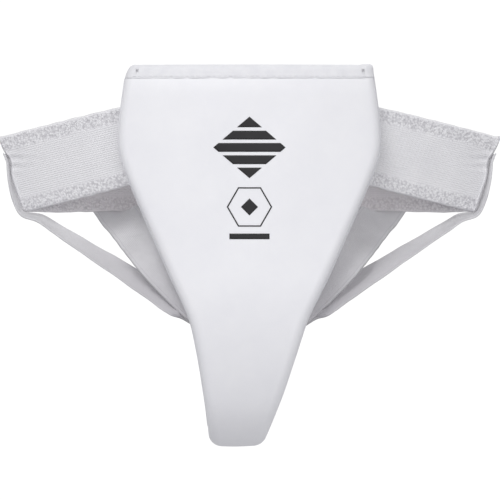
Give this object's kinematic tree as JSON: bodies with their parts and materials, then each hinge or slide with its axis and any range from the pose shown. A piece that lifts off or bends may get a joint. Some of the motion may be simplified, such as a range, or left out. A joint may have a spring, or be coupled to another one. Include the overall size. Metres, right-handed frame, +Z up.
{
  "type": "groin protector",
  "caption": "White groin protector for martial arts: padded shield with curved tail, removable insert, wide elastic waistband and four leg straps.",
  "frame": {"origin": "centre of the waist loop, half-way up the back band", "axes": "+Z up as worn, -Y to the wearer's front, +X to the wearer's left"},
  "size_m": [0.3796, 0.0911, 0.2868],
  "materials": {
    "cover": "smooth white synthetic leather, low sheen",
    "binding": "fine woven tape",
    "foam": "closed-cell foam",
    "lining": "knitted lining",
    "insert": "moulded polyethylene",
    "rim": "soft rim",
    "waist_elastic": "wide knitted elastic",
    "strap_elastic": "narrow woven elastic",
    "thread": "polyester thread",
    "ink": "black screen print",
    "label": "blank satin label"
  },
  "bodies": {
    "root": {"face_cover": "cover", "mouth_binding_front": "binding", "mouth_binding_back": "binding", "rear_binding": "binding", "face_foam": "foam", "rear_pad": "foam", "pocket_lining": "lining", "rear_lining": "lining", "mouth_stitching": "thread", "mouth_tacks": "thread", "emblem_print": "ink", "seal_print": "ink", "wing_tab_left": "waist_elastic", "wing_tab_right": "waist_elastic", "side_strap_left": "strap_elastic", "side_strap_right": "strap_elastic", "rear_strap_left": "strap_elastic", "rear_strap_right": "strap_elastic", "lower_strap_tack_left": "thread", "lower_strap_tack_right": "thread", "wing_seam_left": "thread", "wing_seam_right": "thread"},
    "waist_loop": {"waistband": "waist_elastic", "care_label": "label", "side_strap_tack_left": "thread", "side_strap_tack_right": "thread", "rear_strap_tack_left": "thread", "rear_strap_tack_right": "thread"},
    "insert": {"impact_insert": "insert", "insert_rim": "rim"}
  },
  "joints": [
    {"name": "waist_tilt", "type": "hinge", "parent": "root", "child": "waist_loop", "pos_m": [0, -0.0354, 0.0175], "axis": [1, 0, 0], "range_deg": [0, 20], "stiffness_Nm_per_rad": 0.6},
    {"name": "insert_slide", "type": "slide", "parent": "root", "child": "insert", "axis": [0, 0, 1], "range_m": [0, 0.16]}
  ]
}
